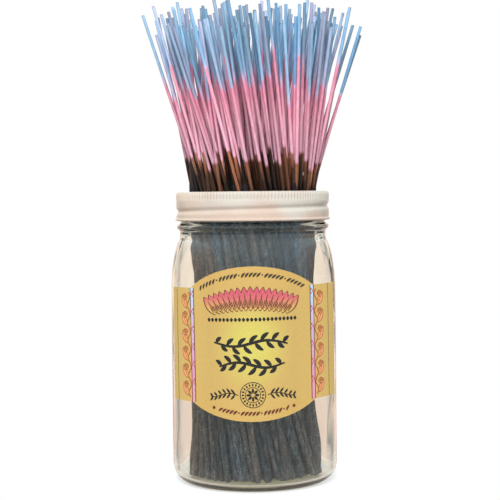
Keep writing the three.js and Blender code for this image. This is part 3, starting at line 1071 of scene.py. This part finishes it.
def leafStrips(base, direction, length, width, lift, curl=0.0, steps=9, fullness=0.8):
    # a leaf-shaped strip from each base: its centre line turns steadily by the curl, and its half width goes
    # by sin(pi t) ^ fullness
    direction, length, width, curl = (np.broadcast_to(value, len(base))[:, None]
                                      for value in (direction, length, width, curl))
    t = np.linspace(0.02, 0.98, steps)[None]
    heading = direction + curl * (t - 0.3)
    walk = np.cumsum(unitAt(heading) * (length / (steps - 1))[..., None], 1)
    centre = base[:, None] + walk - walk[:, :1]
    return inkStrips(centre, width / 2 * np.sin(math.pi * t) ** fullness + 0 * heading, lift)


def discStrips(centre, radius, lift):
    # round dots, as leaves that are as wide as they are long
    return leafStrips(centre - [radius, 0], 0, 2 * radius, 2 * radius, lift, fullness=0.55)


def makeBars():
    # two colour-washed bars with dark edges, and a fine line towards each end of the label
    bottom, top = label["bottom"] + 0.05, label["top"] - 0.05
    bars, lines = [], []
    for side in (-1, 1):
        middle, border = (acrossAt(side * printed[part]) for part in ("barAngle", "borderAngle"))
        bars.append(lineStrip([(middle, bottom), (middle, top)], printed["barWidth"], 0.0))
        for edge in (-1, 1):
            place = middle + edge * printed["barWidth"] / 2
            lines.append(lineStrip([(place, bottom), (place, top)], printed["barLine"], 0.04))
        lines.append(lineStrip([(border, bottom), (border, top)], printed["borderLine"], 0.0))
    makeInk("labelBars", bars, makeInkLook("bar_ink"))
    return lines


def makeVines():
    # outside each bar, a waving stem with filled leaves, a tendril over each leaf, and berries on the bar
    stems, leaves, berries = [], [], []
    line, length, width = printed["vineLine"], printed["leafLength"], printed["leafWidth"]
    bottom, top = label["bottom"] + 2.5, label["top"] - 2.5
    repeat = (top - bottom) / printed["vineRepeats"]
    rise = bottom + repeat * np.arange(printed["vineRepeats"])
    height = np.linspace(bottom, top, 120)
    gap = printed["vineGap"] + printed["vineWave"] * np.sin((height - bottom) * fullTurn / repeat)
    turn = np.linspace(0, 1, 36) * 1.5 * fullTurn
    spiral = printed["tendrilRadius"] * (1 - 0.75 * turn / turn[-1])[:, None] * unitAt(turn)
    for side in (-1, 1):
        bar, curl = acrossAt(side * printed["barAngle"]), 0.7 * side
        stem = bar + side * gap
        stems.append(lineStrip(pairs(stem, height), line, 0.09, steps=110))
        base = pairs(np.interp(rise + 1, height, stem), rise + 1)
        heading = printed["leafLean"] if side > 0 else math.pi - printed["leafLean"]
        inset = base + 0.6 * unitAt(heading)
        stems.append(leafStrips(base, heading, length, width, 0.04, curl, steps=12))
        leaves.append(leafStrips(inset, heading, length - 1.5, width - 1.2, 0.09, curl, steps=12))
        stems.append(leafStrips(inset, heading, length - 3, 0.5, 0.13, curl, steps=8))
        hub = bar + side * (printed["vineGap"] + printed["tendrilOut"])
        for place in rise + repeat - 3.2:
            stems.append(lineStrip([hub, place] + spiral * [-side, 1], line, 0.09, steps=34))
        for out, up, size in ((1.0, 0.0, 1.0), (-0.7, 1.3, 0.8), (-0.9, -1.1, 0.7)):
            spot = pairs(bar + side * out + 0 * rise, rise + repeat - 1 + up)
            berries.append(discStrips(spot, size * printed["berryRadius"], 0.13))
    makeInk("labelVines", stems, makeInkLook("vine_ink"))
    makeInk("labelLeaves", leaves, makeInkLook("leaf_ink"))
    makeInk("labelBerries", berries, makeInkLook("berry_ink"))


def makeCrest():
    # a fan of pointed petals over a low bow, the outermost lowest, each on a larger dark one as its outline
    place = np.linspace(-1, 1, printed["crestPetals"])
    place = place[np.argsort(-np.abs(place))]
    lift = 0.01 * np.arange(len(place))
    base = pairs(printed["crestHalf"] * place, printed["crestRise"] * (1 - place ** 2))
    base = printed["crestMiddle"] + base
    direction = math.pi / 2 - place * printed["crestLean"]
    sideways = pairs(-np.sin(direction), np.cos(direction))
    length, width = printed["petalLength"] - np.abs(place), printed["petalWidth"]
    lines = [leafStrips(base - [0, 0.5], direction, length + 1.0, width + 0.9, lift)]
    for shift, reach in ((0, 0.72), (-0.85, 0.42), (0.85, 0.42)):
        lines.append(leafStrips(base + [0, 0.8] + shift * sideways, direction, length * reach, width * 0.15,
                                lift + 0.10))
    petals = leafStrips(base, direction, length, width, lift + 0.05)
    makeInk("labelCrest", [petals], makeInkLook("crest_ink", heights=(101, 118)))
    makeInk("labelCrestLines", lines, makeInkLook("crest_line_ink"))


def makeRule():
    # a row of small lozenges
    place = np.linspace(-1, 1, 23) * printed["ruleHalf"]
    half = 0.45 * printed["ruleSize"]
    base = pairs(place - 0.8 * half, printed["ruleHeight"] + 0 * place)
    return [leafStrips(base, 0, 1.6 * half, 2 * half, 0.0, steps=5, fullness=1.0)]


def makeTwigs():
    # brush-drawn twigs: a swelling stem with curved leaves that alternate above and below
    strips = []
    count, (longest, width) = printed["twigLeaves"], printed["twigLeafSize"]
    above = np.where(np.arange(count) % 2 == 0, 1.0, -1.0)
    t, spot = np.linspace(-1, 1, 60), np.linspace(-0.94, 0.88, count)
    for flip, (middle, height, half) in zip((1, -1), printed["twigs"]):
        stem, base = (pairs(middle + half * part, height + flip * printed["twigSwing"] * np.sin(part * 3.6))
                      for part in (t, spot))
        strips.append(inkStrips(stem[None], 0.85 * (0.45 + 0.55 * np.cos(t * 1.4))[None], 0.0))
        direction = above if flip > 0 else math.pi - above     # the second twig points the other way
        strips.append(leafStrips(base, direction, longest * (1 - 0.35 * spot ** 2), width, 0.0,
                                 curl=-0.9 * flip * above, steps=10, fullness=0.7))
    return strips


def makeMedallion():
    # a round rosette: ring, inner ring, short ticks and petals, with a leafy spray on either side
    centre, radius = np.array(printed["medallion"]), printed["medallionRadius"]
    circle = unitAt(np.linspace(0, fullTurn, 73))
    strips = [lineStrip(centre + circle * radius, 0.45, 0.0, steps=73),
              lineStrip(centre + circle * radius * 0.60, 0.4, 0.0, steps=60)]
    for count, start, reach, width, steps in ((20, 0.68, 0.24, 1.0, 5), (8, 0.12, 0.42, 1.5, 6)):
        spoke = np.arange(count) * fullTurn / count
        strips.append(leafStrips(centre + unitAt(spoke) * radius * start, spoke, radius * reach, width, 0.0,
                                 steps=steps))
    t, spot = np.linspace(0, 1, 40), np.linspace(0.10, 0.92, 6)
    for side in (-1, 1):
        stem, base = (centre + pairs(side * (radius + 1.2 + printed["sprayLength"] * part),
                                     1.1 * np.sin(part * 5)) for part in (t, spot))
        strips.append(lineStrip(stem, 0.5, 0.0, steps=40))
        for above in (-0.85, 0.85):
            heading = above if side > 0 else math.pi - above
            strips.append(leafStrips(base, heading, 4.2 - 1.4 * spot, 1.2, 0.0, steps=6))
    return strips


def makeArches():
    # small leaves that all lean one way along the two bowed edges, with a dot in place of every sixth
    strips = []
    for edge, inset, half, count, size in ((upperEdge, -4.6, 31, 29, 3.7), (lowerEdge, 4.7, 19.5, 19, 3.5)):
        place = np.linspace(-half, half, count)
        height = edge(place) + inset
        heading = np.arctan(np.gradient(height, place)) + 1.0
        spot = pairs(place, height)
        isDot = np.arange(count) % 6 == 5
        base = spot - 0.5 * size * unitAt(heading)
        strips.append(leafStrips(base[~isDot], heading[~isDot], size, 1.35, 0.0, curl=-0.6, steps=7))
        strips.append(discStrips(spot[isDot], 0.5, 0.0))
    ends = np.array([-23.6, 23.6])
    strips.append(discStrips(pairs(ends, lowerEdge(ends) + 4.4), 0.95, 0.0))
    return strips


def makeLabel():
    makeLabelPaper()
    blackInk = makeInkLook("black_ink")
    makeInk("labelLines", makeBars(), blackInk)
    makeVines()
    makeCrest()
    makeInk("labelDrawing", makeRule() + makeTwigs() + makeMedallion(), blackInk)
    makeInk("labelArches", makeArches(), makeInkLook("brown_ink"))


# Put it together

bpy.context.scene.view_settings.view_transform = "Standard"
makeCamera()
makeWorld()
makeKeyLight()
makeFloor()
print("camera, light and floor are set")
makeJar()
makeBand()
stand = standSticks()
makeCoats(stand)
makeCanes(stand)
makeLabel()
print("every piece is made")
